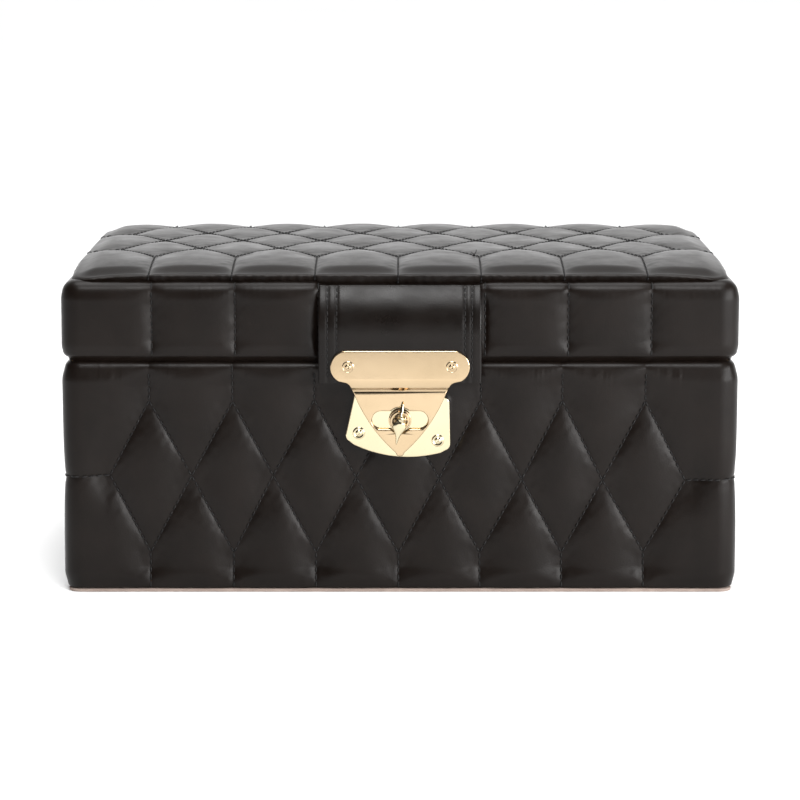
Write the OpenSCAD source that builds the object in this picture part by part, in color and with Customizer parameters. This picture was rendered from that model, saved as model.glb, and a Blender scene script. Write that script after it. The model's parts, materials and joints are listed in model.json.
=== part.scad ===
// Quilted leather jewellery case with a turn-lock strap and a self-raising tray.
// Millimetres. The origin is the bottom centre, +X is right, +Y is the hinge side, +Z is up.

/* [Case size] */
// outer width over the quilting
case_w = 250; // [200:1:320]
// outer depth over the quilting
case_d = 166; // [140:1:220]
// height of the lower body's top edge
body_h = 85; // [75:0.5:110]
// gap between the body and the lid
lid_gap = 0.6; // [0.4:0.1:1.2]
// height of the lid's band
lid_h = 28.9; // [26:0.1:40]
// height of the quilted cushion on the lid
pad_h = 8.5; // [5:0.1:14]
// distance of the cushion from the lid's edge
pad_inset = 3; // [2:0.5:8]
// radius of the upright corners
corner_r = 6; // [4:0.5:10]
// radius of the cushion's corners
pad_corner_r = 9; // [5:0.5:16]

/* [Shell layers] */
// thickness of the quilted leather with its foam
wrap_t = 4; // [3:0.1:5]
// thickness of the carcass boards
board_t = 4; // [3:0.1:5]
// thickness of the suede lining
lining_t = 1.2; // [0.8:0.1:1.6]
// thickness of the edge strips round the opening
rim_t = 0.8; // [0.6:0.1:1]
// distance of the edge strips from the outside
rim_inset = 1.5; // [1:0.1:2.5]
// thickness of the sheet under the case
base_cover_t = 1.2; // [1:0.1:3]
// distance of the sheet under the case from the outside
base_inset = 4; // [3:0.5:8]

/* [Lower compartment] */
// thickness of the padded floor
floor_pad_t = 3; // [1:0.5:5]
// thickness of the dividers
divider_t = 3; // [2:0.5:4]
// height of the dividers above the padded floor
divider_h = 38; // [20:1:40]
// distance of the long divider behind the middle
divider_y = 14; // [0:1:30]
// distance of the cross dividers from the middle
divider_x = 38; // [20:1:60]

/* [Hinges] */
// distance of each hinge from the middle
hinge_x = 78; // [60:1:90]
// length of each hinge
hinge_len = 36; // [24:1:44]
// radius of the knuckles
knuckle_r = 2.2; // [1.9:0.05:2.2]
// distance of the pin's axis behind the case
hinge_out = 2.5; // [2.5:0.1:4]
// gap between knuckles
knuckle_gap = 0.4; // [0.3:0.05:0.8]
// radius of the hinge pin
hinge_pin_r = 0.9; // [0.7:0.05:1.1]
// width of the leaf on the board
leaf_w = 8; // [6:0.5:9]

/* [Closure] */
// width of the leather strap
strap_w = 60; // [50:1:66]
// thickness of the leather strap
strap_t = 2.7; // [2:0.1:2.8]
// air between the strap and the quilting
strap_air = 0.3; // [0.3:0.1:0.6]
// height of the strap's lower end
strap_z = 79.2; // [76:0.1:80]
// distance of the strap's bend below the lid's top edge
bend_drop = 1.3; // [1:0.1:2]
// length of the strap's end under the cushion
root_len = 13; // [8:0.5:20]
// length of the rounded bar
bar_l = 51.3; // [44:0.1:56]
// height of the rounded bar
bar_h = 12.1; // [10:0.1:13]
// thickness of the bar
bar_t = 1.5; // [1:0.1:2]
// half width of the neck under the bar
neck_w = 17.2; // [15:0.1:18]
// flare of the neck up to the bar
neck_flare = 2.2; // [1:0.1:2.3]
// height of the flap's straight top edge
flap_z = 75.8; // [74.5:0.1:76.5]
// height of the flap's tip
flap_tip_z = 52.0; // [50.5:0.1:54]
// bulge of the flap's two sides
flap_bulge = 1.9; // [1.6:0.1:2.4]
// thickness of the flap
flap_t = 1.2; // [0.8:0.1:1.2]
// length of the slot
slot_l = 20.6; // [17:0.1:20.8]
// height of the slot
slot_h = 6.6; // [5.6:0.1:6.8]
// height of the lock's centre
lock_z = 65.5; // [64.5:0.1:66.5]
// distance between the strap rivets
bar_rivet_gap = 38.1; // [30:0.1:42]
// radius of the rivet heads
rivet_r = 2.4; // [2:0.05:2.6]
// radius of the rivet shanks
shank_r = 1.1; // [0.8:0.05:1.3]
// thickness of the rivet heads
rivet_t = 0.7; // [0.4:0.05:1]

/* [Turn lock] */
// thickness of the plate on the body
keeper_t = 1.6; // [1.2:0.1:1.8]
// half width of the plate at its top
keeper_top_w = 17.6; // [15:0.1:18]
// half width of the plate at its bottom
keeper_low_w = 19.4; // [17:0.1:21]
// height of the plate above the lock's centre
keeper_up = 10; // [8:0.1:10.5]
// height of the plate below the lock's centre
keeper_down = 14; // [12:0.1:15]
// depth of the plate's curved lower edge
keeper_belly = 4.2; // [3:0.1:5]
// radius of the plate's corners
keeper_r = 2.6; // [1.5:0.1:3]
// distance of the plate's rivets from its middle
keeper_rivet_x = 14.6; // [12:0.1:16]
// distance of the plate's rivets below the lock's centre
keeper_rivet_drop = 6.5; // [4:0.1:8]
// turn of the plate away from level
keeper_turn = 5.5; // [0:0.5:8]
// radius of the round stud
stud_r = 4.2; // [3.6:0.1:4.4]
// height of the round stud
stud_t = 2.3; // [1.6:0.1:2.4]
// air round the stud in the flap
stud_air = 0.5; // [0.4:0.05:0.8]
// radius of the knob's spindle
spindle_r = 1.5; // [1.2:0.05:1.8]
// length of the knob's wing
wing_l = 15.4; // [12:0.1:17]
// width of the wing's broad half
wing_w = 4.2; // [3:0.1:5]
// width of the wing's narrow half
wing_thin = 2.2; // [1.6:0.1:3]
// thickness of the wing
wing_t = 2.2; // [1.4:0.1:3]
// radius of the knob's collar
collar_r = 3.7; // [3:0.1:4]
// thickness of the knob's collar
collar_t = 0.7; // [0.4:0.1:1]
// length of the stem between the collar and the wing
stem_l = 1.2; // [0.6:0.1:2]
// lean of the wing away from upright
wing_lean = 8.6; // [0:0.2:12]

/* [Tray] */
// half width of the tray
tray_w = 111.6; // [90:0.1:112]
// front face of the tray
tray_front = -72; // [-72:0.5:-66]
// back face of the tray
tray_back = 62; // [40:0.5:62]
// height of the tray's underside
tray_z = 53.3; // [52:0.1:60]
// height of the tray
tray_h = 30; // [24:0.5:30]
// thickness of the tray's walls
tray_t = 3; // [2:0.5:4]
// thickness of the tray's floor
tray_floor_t = 2; // [1.5:0.5:3]
// distance of the long divider right of the middle
tray_divider_x = 18; // [0:1:40]
// height of a ring roll
roll_h = 21; // [16:0.5:24]
// air between the ring rolls
roll_gap = 0.5; // [0.3:0.1:1]

/* [Lifting arms] */
// distance between the two pivots of an arm
arm_len = 50; // [46:0.5:50]
// droop of the arms with the lid shut
arm_droop = 12; // [10:0.5:14]
// radius of the arms' round ends
arm_r = 5; // [4:0.25:5.5]
// width of an arm between its ends
arm_bar_w = 6.4; // [4:0.2:7.4]
// thickness of an arm
arm_t = 1.5; // [1.2:0.1:1.7]
// distance of the arms' inner faces from the middle
arm_x = 113.2; // [112.6:0.1:113.4]
// distance of the front tray pin in front of the hinge
pin_front = 140; // [130:1:146]
// distance of the front tray pin below the hinge
pin_drop = 20; // [16:0.5:24]
// radius of the pivot pins
pin_r = 1.6; // [1.2:0.05:1.8]
// running clearance of the pivots
pin_fit = 0.05; // [0.02:0.01:0.1]
// loose clearance of the front tray pin
pin_loose = 0.3; // [0.2:0.05:0.4]

/* [Mirror] */
// half width of the mirror's frame
frame_w = 74; // [50:1:90]
// half depth of the mirror's frame
frame_d = 46; // [30:1:52]
// thickness of the mirror's frame
frame_t = 2.5; // [2:0.1:3]
// width of the frame's border
frame_border = 6; // [4:0.5:10]
// thickness of the mirror
mirror_t = 1.8; // [1.2:0.1:2.2]

/* [Hidden] */
// smooth circles
$fn = 64;
// small overlap used only for cutting tools
cut = 1;
// steps on a drawn arc
arc_n = 10;
// which piece to draw

// levels of the body and the lid
hx = case_w / 2;
hy = case_d / 2;
wall_x = hx - wrap_t;
wall_y = hy - wrap_t;
line_x = wall_x - board_t;
line_y = wall_y - board_t;
room_x = line_x - lining_t;
room_y = line_y - lining_t;
board_z = base_cover_t;
floor_z = board_z + board_t;
wall_z = body_h - rim_t;
lid_z = body_h + lid_gap;
lid_wall_z = lid_z + rim_t;
lid_top = lid_z + lid_h;
lid_board_z = lid_top - board_t;
ceiling_z = lid_board_z - lining_t;
pad_top = lid_top + pad_h;

// hinge axis and lifting pivots
axis_y = hy + hinge_out;
axis_z = body_h + lid_gap / 2;
lid_pivot = [axis_y - arm_len * cos(arm_droop), axis_z - arm_len * sin(arm_droop)];
front_pin = [axis_y - pin_front, axis_z - pin_drop];
arm_pivot = [front_pin[0] + arm_len * cos(arm_droop), front_pin[1] + arm_len * sin(arm_droop)];
pin_tip_x = room_x - 0.7;
arm_flange_t = 0.7;

// closure planes, counted towards the front
strap_back = -hy - strap_air;
strap_face = strap_back - strap_t;
bar_face = strap_face - bar_t;
bend_y = strap_back - strap_t / 2;
bend_z = lid_top - bend_drop;
keeper_face = -hy - keeper_t;
flap_back = keeper_face - 0.4;
flap_face = flap_back - flap_t;
stud_face = keeper_face - stud_t;
collar_back = stud_face - 0.3;
wing_back = collar_back - collar_t - stem_l;
spindle_end = -hy - 0.4;
bar_z = strap_z + bar_h / 2;
root_z = bend_z + strap_t / 2 + strap_air;

// a box from its two opposite corners
module block(a, b) {
    translate(a)
        cube(b - a);
}

// an upright slab with rounded corners, w and d are half sizes
module slab(w, d, r, z0, z1) {
    translate([0, 0, z0])
        linear_extrude(z1 - z0)
            union() {
                square([2 * (w - r), 2 * d], center = true);
                square([2 * w, 2 * (d - r)], center = true);
                for (sx = [-1, 1], sy = [-1, 1])
                    translate([sx * (w - r), sy * (d - r)])
                        circle(r);
            }
}

// a band with rounded outside corners and a square hollow
module band(w, d, r, in_w, in_d, z0, z1) {
    difference() {
        slab(w, d, r, z0, z1);
        block([-in_w, -in_d, z0 - cut], [in_w, in_d, z1 + cut]);
    }
}

// a band with square corners
module frame_band(w, d, in_w, in_d, z0, z1) {
    difference() {
        block([-w, -d, z0], [w, d, z1]);
        block([-in_w, -in_d, z0 - cut], [in_w, in_d, z1 + cut]);
    }
}

// a flat drawing in X and Z, raised from y0 towards the front
module raise(y0, t) {
    translate([0, y0, 0])
        rotate([90, 0, 0])
            linear_extrude(t)
                children();
}

// a rod along Y from y0 towards the front
module rod_y(x, z, r, y0, t) {
    translate([x, y0, z])
        rotate([90, 0, 0])
            cylinder(r = r, h = t);
}

// a rod along X between two stations
module rod_x(x0, x1, y, z, r) {
    translate([x0, y, z])
        rotate([0, 90, 0])
            cylinder(r = r, h = x1 - x0);
}

// points on an arc
function arc(c, r, a0, a1, n = arc_n) =
    [for (i = [0 : n]) c + r * [cos(a0 + (a1 - a0) * i / n), sin(a0 + (a1 - a0) * i / n)]];

// a piece drawn on the right stays there for 1 and is mirrored to the left for -1
module on_side(s) {
    mirror([s < 0 ? 1 : 0, 0, 0])
        children();
}

// ---------- lower body ----------

module base_cover() {
    color("Peru")
        slab(hx - base_inset, hy - base_inset, corner_r - 1, 0, base_cover_t);
}

module base_board() {
    color("Tan")
        block([-wall_x, -wall_y, board_z], [wall_x, wall_y, floor_z]);
}

// the long boards run over the ends of the short ones
module long_board(s, z0, z1) {
    y0 = s > 0 ? line_y : -wall_y;
    color("Tan")
        block([-wall_x, y0, z0], [wall_x, y0 + board_t, z1]);
}

module short_board(s, z0, z1) {
    x0 = s > 0 ? line_x : -wall_x;
    color("Tan")
        block([x0, -line_y, z0], [x0 + board_t, line_y, z1]);
}

module body_wrap() {
    color("DimGray")
        band(hx, hy, corner_r, wall_x, wall_y, board_z, wall_z);
}

module hinge_notches(z0, z1) {
    for (s = [-1, 1])
        block([s * hinge_x - hinge_len / 2, wall_y - leaf_w + wrap_t - 0.1, z0 - cut],
              [s * hinge_x + hinge_len / 2, hy + cut, z1 + cut]);
}

module rim(z0) {
    color("DimGray")
        difference() {
            band(hx - rim_inset, hy - rim_inset, corner_r - rim_inset, room_x, room_y,
                 z0, z0 + rim_t);
            hinge_notches(z0, z0 + rim_t);
        }
}

module body_lining() {
    color("DarkKhaki")
        frame_band(line_x, line_y, room_x, room_y, floor_z, wall_z);
}

module floor_pad() {
    color("DarkKhaki")
        block([-room_x, -room_y, floor_z], [room_x, room_y, floor_z + floor_pad_t]);
}

module floor_divider_long() {
    z0 = floor_z + floor_pad_t;
    color("Khaki")
        block([-room_x, divider_y, z0], [room_x, divider_y + divider_t, z0 + divider_h]);
}

module floor_divider_cross(s) {
    z0 = floor_z + floor_pad_t;
    x0 = s * divider_x - divider_t / 2;
    color("Khaki")
        block([x0, -room_y, z0], [x0 + divider_t, divider_y, z0 + divider_h]);
}

// ---------- hinges ----------

// lengths of the middle knuckle and of each outer one
mid_len = hinge_len / 3;
out_len = (hinge_len - mid_len) / 2 - knuckle_gap;

module knuckle(x0, x1) {
    rod_x(x0, x1, axis_y, axis_z, knuckle_r);
}

module hinge_bore(s) {
    rod_x(s * hinge_x - hinge_len, s * hinge_x + hinge_len, axis_y, axis_z,
          hinge_pin_r + pin_fit);
}

module leaf_body(s) {
    color("Goldenrod")
        translate([s * hinge_x, 0, 0])
            difference() {
                union() {
                    block([-hinge_len / 2, hy - leaf_w, wall_z], [hinge_len / 2, hy, body_h]);
                    for (e = [-1, 1])
                        translate([e * (hinge_len - out_len) / 2, 0, 0]) {
                            block([-out_len / 2, hy - rim_t, wall_z],
                                  [out_len / 2, axis_y, body_h]);
                            knuckle(-out_len / 2, out_len / 2);
                        }
                }
                hinge_bore(0);
            }
}

module leaf_lid(s) {
    color("Goldenrod")
        translate([s * hinge_x, 0, 0])
            difference() {
                union() {
                    block([-hinge_len / 2, hy - leaf_w, lid_z],
                          [hinge_len / 2, hy, lid_z + rim_t]);
                    block([-mid_len / 2, hy - rim_t, lid_z],
                          [mid_len / 2, axis_y, lid_z + rim_t]);
                    knuckle(-mid_len / 2, mid_len / 2);
                }
                hinge_bore(0);
            }
}

module hinge_pins() {
    color("Goldenrod")
        for (s = [-1, 1])
            rod_x(s * hinge_x - hinge_len / 2, s * hinge_x + hinge_len / 2, axis_y, axis_z,
                  hinge_pin_r);
}

// ---------- lifting gear ----------

module lift_bracket(s) {
    y0 = lid_pivot[0];
    z0 = lid_pivot[1];
    color("Goldenrod")
        on_side(s) difference() {
            union() {
                block([arm_x, y0 - arm_r, z0], [arm_x + arm_t, y0 + arm_r, lid_wall_z + 12]);
                rod_x(arm_x, arm_x + arm_t, y0, z0, arm_r);
                block([arm_x, y0 - arm_r, lid_wall_z + 2],
                      [room_x, y0 + arm_r, lid_wall_z + 12]);
            }
            rod_x(arm_x - cut, room_x, y0, z0, pin_r + pin_fit);
        }
}

module lift_arm(s) {
    run = front_pin - arm_pivot;
    color("Goldenrod")
        on_side(s) difference() {
            union() {
                rod_x(arm_x, arm_x + arm_t, arm_pivot[0], arm_pivot[1], arm_r);
                rod_x(arm_x, arm_x + arm_t, front_pin[0], front_pin[1], arm_r);
                translate([arm_x, arm_pivot[0], arm_pivot[1]])
                    rotate([atan2(run[1], run[0]), 0, 0])
                        translate([0, 0, -arm_bar_w / 2])
                            cube([arm_t, arm_len, arm_bar_w]);
            }
            rod_x(arm_x - cut, room_x, arm_pivot[0], arm_pivot[1], pin_r + pin_fit);
            rod_x(arm_x - cut, room_x, front_pin[0], front_pin[1], pin_r + pin_loose);
        }
}

module arm_pivots() {
    color("Goldenrod")
        for (s = [-1, 1])
            on_side(s) {
                rod_x(arm_x - 0.4, room_x, arm_pivot[0], arm_pivot[1], pin_r);
                rod_x(room_x - arm_flange_t, room_x, arm_pivot[0], arm_pivot[1], arm_r - 1);
            }
}

module tray_pins() {
    color("Goldenrod")
        for (s = [-1, 1], p = [lid_pivot, front_pin])
            on_side(s)
                rod_x(tray_w, pin_tip_x, p[0], p[1], pin_r);
}

// ---------- lid ----------

module lid_board() {
    color("Tan")
        block([-wall_x, -wall_y, lid_board_z], [wall_x, wall_y, lid_top]);
}

module lid_wrap() {
    color("DimGray")
        band(hx, hy, corner_r, wall_x, wall_y, lid_wall_z, lid_top);
}

module lid_lining() {
    color("DarkKhaki")
        frame_band(line_x, line_y, room_x, room_y, lid_wall_z, ceiling_z);
}

module lid_ceiling() {
    color("DarkKhaki")
        block([-line_x, -line_y, ceiling_z], [line_x, line_y, lid_board_z]);
}

module lid_pad() {
    color("DimGray")
        difference() {
            slab(hx - pad_inset, hy - pad_inset, pad_corner_r, lid_top, pad_top);
            block([-strap_w / 2, -hy - cut, lid_top - cut],
                  [strap_w / 2, strap_face + root_len, root_z + strap_t]);
        }
}

module mirror_frame() {
    color("DarkKhaki")
        frame_band(frame_w, frame_d, frame_w - frame_border, frame_d - frame_border,
                   ceiling_z - frame_t, ceiling_z);
}

module mirror_glass() {
    color("LightSteelBlue")
        block([frame_border - frame_w, frame_border - frame_d, ceiling_z - mirror_t],
              [frame_w - frame_border, frame_d - frame_border, ceiling_z]);
}

module strap_root() {
    color("DimGray")
        block([-strap_w / 2, strap_face, root_z],
              [strap_w / 2, strap_face + root_len, root_z + strap_t]);
}

// ---------- strap and hasp ----------

// the two rivet holes of the bar
module bar_holes(r) {
    for (s = [-1, 1])
        rod_y(s * bar_rivet_gap / 2, bar_z, r, -hy, 3 * strap_t);
}

module closure_strap() {
    color("DimGray")
        difference() {
            union() {
                block([-strap_w / 2, strap_face, strap_z], [strap_w / 2, strap_back, bend_z]);
                rod_x(-strap_w / 2, strap_w / 2, bend_y, bend_z, strap_t / 2);
            }
            bar_holes(shank_r);
        }
}

// the flap's sides are arcs through its shoulder and its tip
flap_top_z = flap_z + flap_t / 4;
side_run = [neck_w, flap_top_z - flap_tip_z];
side_len = norm(side_run);
side_r = (side_len * side_len / 4 + flap_bulge * flap_bulge) / (2 * flap_bulge);
side_out = [side_run[1], -side_run[0]] / side_len;
side_c = [side_run[0] / 2, (flap_top_z + flap_tip_z) / 2] - side_out * (side_r - flap_bulge);

module flap_shape() {
    intersection() {
        translate(side_c)
            circle(side_r, $fn = 360);
        translate([-side_c[0], side_c[1]])
            circle(side_r, $fn = 360);
        translate([-bar_l / 2, flap_tip_z - cut])
            square([bar_l, flap_top_z - flap_tip_z + cut]);
    }
}

module slot_shape() {
    run = (slot_l - slot_h) / 2;
    translate([0, lock_z]) {
        square([2 * run, slot_h], center = true);
        for (s = [-1, 1])
            translate([s * run, 0])
                circle(slot_h / 2);
        circle(stud_r + stud_air);
    }
}

module bar_shape() {
    run = (bar_l - bar_h) / 2;
    translate([0, bar_z]) {
        square([2 * run, bar_h], center = true);
        for (s = [-1, 1])
            translate([s * run, 0])
                circle(bar_h / 2);
    }
}

// one side of the neck, flaring from the flap up to the bar in a hollow curve
function neck_side(s) = [for (i = [0 : arc_n])
    [s * (neck_w + neck_flare * (1 - cos(90 * i / arc_n))),
     flap_z + (strap_z - flap_z) * sin(90 * i / arc_n)]];

function reverse(p) = [for (i = [len(p) - 1 : -1 : 0]) p[i]];

// the sheet steps back from the bar to the flap here
module neck() {
    top = [neck_w + neck_flare, strap_z + cut];
    intersection() {
        translate([-case_w / 2, 0, 0])
            rotate([90, 0, 90])
                linear_extrude(case_w)
                    polygon([[bar_face, strap_z + cut], [bar_face, strap_z],
                             [flap_face, flap_z], [flap_back, flap_z], [strap_face, strap_z],
                             [strap_face, strap_z + cut]]);
        raise(flap_back + cut, bar_t + strap_t + cut)
            polygon(concat(neck_side(1), [top, [-top[0], top[1]]], reverse(neck_side(-1))));
    }
}

module hasp() {
    color("Gold")
        difference() {
            union() {
                raise(strap_face, bar_t)
                    bar_shape();
                neck();
                raise(flap_back, flap_t)
                    difference() {
                        flap_shape();
                        slot_shape();
                    }
            }
            bar_holes(shank_r);
        }
}

// a riveted head with a raised ring round a low dome
module rivet_head() {
    rotate_extrude()
        polygon([[0, 0], [rivet_r, 0], [rivet_r, rivet_t * 0.5], [rivet_r * 0.85, rivet_t * 0.8],
                 [rivet_r * 0.62, rivet_t * 0.8], [rivet_r * 0.5, rivet_t * 0.5],
                 [rivet_r * 0.3, rivet_t], [0, rivet_t]]);
}

module rivet(x, z, face, shank) {
    translate([x, face, z])
        rotate([90, 0, 0])
            union() {
                rivet_head();
                translate([0, 0, -shank])
                    cylinder(r = shank_r, h = shank + rivet_t / 4);
            }
}

module hasp_rivets() {
    color("Gold")
        for (s = [-1, 1])
            rivet(s * bar_rivet_gap / 2, bar_z, bar_face, bar_t + strap_t);
}

// ---------- turn lock ----------

// outline of the plate about the lock's centre, counted anticlockwise
belly_r = (keeper_low_w * keeper_low_w + keeper_belly * keeper_belly) / (2 * keeper_belly);
belly_a = asin((keeper_low_w - keeper_r) / belly_r);
keeper_low_z = keeper_r + keeper_belly * 0.75 - keeper_down;
function keeper_outline() = concat(
    arc([keeper_top_w - keeper_r, keeper_up - keeper_r], keeper_r, 0, 90),
    arc([keeper_r - keeper_top_w, keeper_up - keeper_r], keeper_r, 90, 180),
    arc([keeper_r - keeper_low_w, keeper_low_z], keeper_r, 180, 250),
    arc([0, belly_r - keeper_down], belly_r, 270 - belly_a, 270 + belly_a),
    arc([keeper_low_w - keeper_r, keeper_low_z], keeper_r, 290, 360));

module keeper_plate() {
    color("Gold")
        difference() {
            raise(-hy, keeper_t)
                translate([0, lock_z])
                    rotate(-keeper_turn)
                        difference() {
                            polygon(keeper_outline());
                            for (s = [-1, 1])
                                translate([s * keeper_rivet_x, -keeper_rivet_drop])
                                    circle(shank_r);
                        }
            rod_y(0, lock_z, spindle_r + pin_fit, -hy + cut, stud_t + keeper_t + 2 * cut);
        }
}

module keeper_rivets() {
    c = cos(keeper_turn);
    n = sin(keeper_turn);
    color("Gold")
        for (s = [-1, 1])
            rivet(s * keeper_rivet_x * c - keeper_rivet_drop * n,
                  lock_z - s * keeper_rivet_x * n - keeper_rivet_drop * c, keeper_face, keeper_t);
}

module lock_stud() {
    color("Gold")
        difference() {
            rod_y(0, lock_z, stud_r, keeper_face, stud_t);
            rod_y(0, lock_z, spindle_r + pin_fit, -hy + cut, stud_t + keeper_t + 2 * cut);
        }
}

// the wing is broad below the spindle and narrow above it
module turn_knob() {
    half = wing_l / 2;
    color("Gold")
        union() {
            rod_y(0, lock_z, spindle_r, spindle_end, spindle_end - collar_back);
            rod_y(0, lock_z, collar_r, collar_back, collar_t);
            rod_y(0, lock_z, wing_thin, collar_back, collar_t + stem_l + wing_t / 2);
            raise(wing_back, wing_t)
                translate([0, lock_z])
                    rotate(-wing_lean)
                        polygon([[0, half], [wing_thin / 3, half * 0.85],
                                 [wing_thin / 2, half * 0.3], [wing_w / 2, -half * 0.2],
                                 [wing_w * 0.42, -half * 0.5], [wing_w * 0.2, -half * 0.9],
                                 [0, -half], [-wing_w * 0.2, -half * 0.9],
                                 [-wing_w * 0.42, -half * 0.5], [-wing_w / 2, -half * 0.2],
                                 [-wing_thin / 2, half * 0.3], [-wing_thin / 3, half * 0.85]]);
        }
}

// ---------- tray ----------

module tray_floor() {
    color("Khaki")
        block([-tray_w, tray_front, tray_z], [tray_w, tray_back, tray_z + tray_floor_t]);
}

module tray_long_wall(y0) {
    color("Khaki")
        block([-tray_w, y0, tray_z + tray_floor_t], [tray_w, y0 + tray_t, tray_z + tray_h]);
}

module tray_side_wall(x0) {
    color("Khaki")
        block([x0, tray_front + tray_t, tray_z + tray_floor_t],
              [x0 + tray_t, tray_back - tray_t, tray_z + tray_h]);
}

module tray_divider_long() {
    color("Khaki")
        block([tray_divider_x, tray_front + tray_t, tray_z + tray_floor_t],
              [tray_divider_x + divider_t, tray_back - tray_t, tray_z + tray_h - 2]);
}

tray_room = tray_back - tray_front - 2 * tray_t;

module tray_divider_cross(k) {
    y0 = tray_front + tray_t + tray_room * k / 3 - divider_t / 2;
    color("Khaki")
        block([tray_t - tray_w, y0, tray_z + tray_floor_t],
              [tray_divider_x, y0 + divider_t, tray_z + tray_h - 2]);
}

// six padded rolls fill the right of the tray from front to back
module ring_roll(k) {
    pitch = tray_room / 6;
    r = (pitch - roll_gap) / 2;
    z0 = tray_z + tray_floor_t;
    x0 = tray_divider_x + divider_t;
    x1 = tray_w - tray_t;
    y0 = tray_front + tray_t + pitch * (k - 0.5);
    color("DarkKhaki")
        union() {
            block([x0, y0 - r, z0], [x1, y0 + r, z0 + roll_h - r]);
            rod_x(x0, x1, y0, z0 + roll_h - r, r);
        }
}

base_cover();
base_board();
long_board(-1, floor_z, wall_z);  // wall_front
long_board(1, floor_z, wall_z);  // wall_back
short_board(-1, floor_z, wall_z);  // wall_left
short_board(1, floor_z, wall_z);  // wall_right
body_wrap();
rim(wall_z);  // body_rim
body_lining();
floor_pad();
floor_divider_long();
floor_divider_cross(-1);  // floor_divider_left
floor_divider_cross(1);  // floor_divider_right
leaf_body(-1);  // hinge_leaf_body_left
leaf_body(1);  // hinge_leaf_body_right
hinge_pins();
arm_pivots();
keeper_plate();
keeper_rivets();
lock_stud();
lid_board();
long_board(-1, lid_wall_z, lid_board_z);  // lid_wall_front
long_board(1, lid_wall_z, lid_board_z);  // lid_wall_back
short_board(-1, lid_wall_z, lid_board_z);  // lid_wall_left
short_board(1, lid_wall_z, lid_board_z);  // lid_wall_right
lid_wrap();
rim(lid_z);  // lid_rim
lid_lining();
lid_ceiling();
lid_pad();
mirror_frame();
mirror_glass();
strap_root();
leaf_lid(-1);  // hinge_leaf_lid_left
leaf_lid(1);  // hinge_leaf_lid_right
lift_bracket(-1);  // lift_bracket_left
lift_bracket(1);  // lift_bracket_right
closure_strap();
hasp();
hasp_rivets();
turn_knob();
tray_floor();
tray_long_wall(tray_front);  // tray_wall_front
tray_long_wall(tray_back - tray_t);  // tray_wall_back
tray_side_wall(-tray_w);  // tray_wall_left
tray_side_wall(tray_w - tray_t);  // tray_wall_right
tray_divider_long();
tray_divider_cross(1);  // tray_divider_front
tray_divider_cross(2);  // tray_divider_back
ring_roll(1);  // ring_roll_1
ring_roll(2);  // ring_roll_2
ring_roll(3);  // ring_roll_3
ring_roll(4);  // ring_roll_4
ring_roll(5);  // ring_roll_5
ring_roll(6);  // ring_roll_6
tray_pins();
lift_arm(-1);  // lift_arm_left
lift_arm(1);  // lift_arm_right
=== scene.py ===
"""Quilted black leather jewellery case with a gilt turn lock, built round its CAD frame.

All shapes are worked out in millimetres in the CAD's own frame (+X right, +Y to the hinges, +Z up)
and written to Blender in metres.
"""

import json
from math import atan2, cos, dist, exp, pi, radians, sin, sqrt, tau

import bmesh
import bpy
import numpy as np
from mathutils import Matrix, Vector


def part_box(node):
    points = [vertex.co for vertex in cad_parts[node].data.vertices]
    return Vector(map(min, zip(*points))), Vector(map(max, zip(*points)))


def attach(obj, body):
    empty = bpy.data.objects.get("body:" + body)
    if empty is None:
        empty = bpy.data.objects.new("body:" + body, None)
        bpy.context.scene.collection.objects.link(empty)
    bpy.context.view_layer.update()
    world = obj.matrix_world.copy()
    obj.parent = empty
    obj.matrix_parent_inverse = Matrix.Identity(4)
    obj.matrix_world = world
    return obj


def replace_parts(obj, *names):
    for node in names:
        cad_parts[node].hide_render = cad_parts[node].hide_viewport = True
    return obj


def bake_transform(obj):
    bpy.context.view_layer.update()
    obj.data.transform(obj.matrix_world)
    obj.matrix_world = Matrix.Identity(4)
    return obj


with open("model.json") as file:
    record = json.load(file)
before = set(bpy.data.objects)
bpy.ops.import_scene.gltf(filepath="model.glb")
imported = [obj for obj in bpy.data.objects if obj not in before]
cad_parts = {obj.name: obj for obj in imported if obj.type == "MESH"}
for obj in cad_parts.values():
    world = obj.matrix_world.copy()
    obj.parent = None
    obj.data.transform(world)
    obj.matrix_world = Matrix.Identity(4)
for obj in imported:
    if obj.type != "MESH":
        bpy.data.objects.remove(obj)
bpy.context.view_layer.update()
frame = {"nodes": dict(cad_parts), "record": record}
MM = 0.001
rng = np.random.default_rng(11)


# ---------- places read from the CAD frame ----------

def box(node):
    """Lowest and highest corner of a CAD node, in millimetres."""
    low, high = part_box(node)
    return np.array(low) / MM, np.array(high) / MM


WRAP_LO, WRAP_HI = box("body_wrap")
LID_LO, LID_HI = box("lid_wrap")
PAD_LO, PAD_HI = box("lid_pad")
RIM_HI = box("body_rim")[1]
LID_RIM_LO = box("lid_rim")[0]
STRAP_LO, STRAP_HI = box("closure_strap")
HASP_LO, HASP_HI = box("hasp")
KEEPER_LO = box("keeper_plate")[0]
STUD_LO, STUD_HI = box("lock_stud")
KNOB_LO = box("turn_knob")[0]
HALF_W, HALF_D = WRAP_HI[0], WRAP_HI[1]
LOCK_Z = (STUD_LO[2] + STUD_HI[2]) / 2

# quilting round the case: the diamonds' pitch along u and the heights of their points
PITCH = 30.5
SIDE_PITCH = 31.4
ROW_TOP, ROW_MID, ROW_LOW = 71.8, 43.0, 14.7
FRONT_DIAMONDS, SIDE_DIAMONDS = 7, 4
FRONT_SHIFT, FRONT_LEAN = -0.9, 0.0105
LID_PITCH, LID_SHIFT = 30.65, 0.65
OVERRUN, LOW_OVERRUN = 6, 5

# quilting of the cushion: the diamonds' pitch, half their length, and their offset
PAD_PITCH, PAD_ROW = 30.6, 28.5
PAD_SHIFT_X, PAD_SHIFT_Y = -0.7, 10.0

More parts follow.
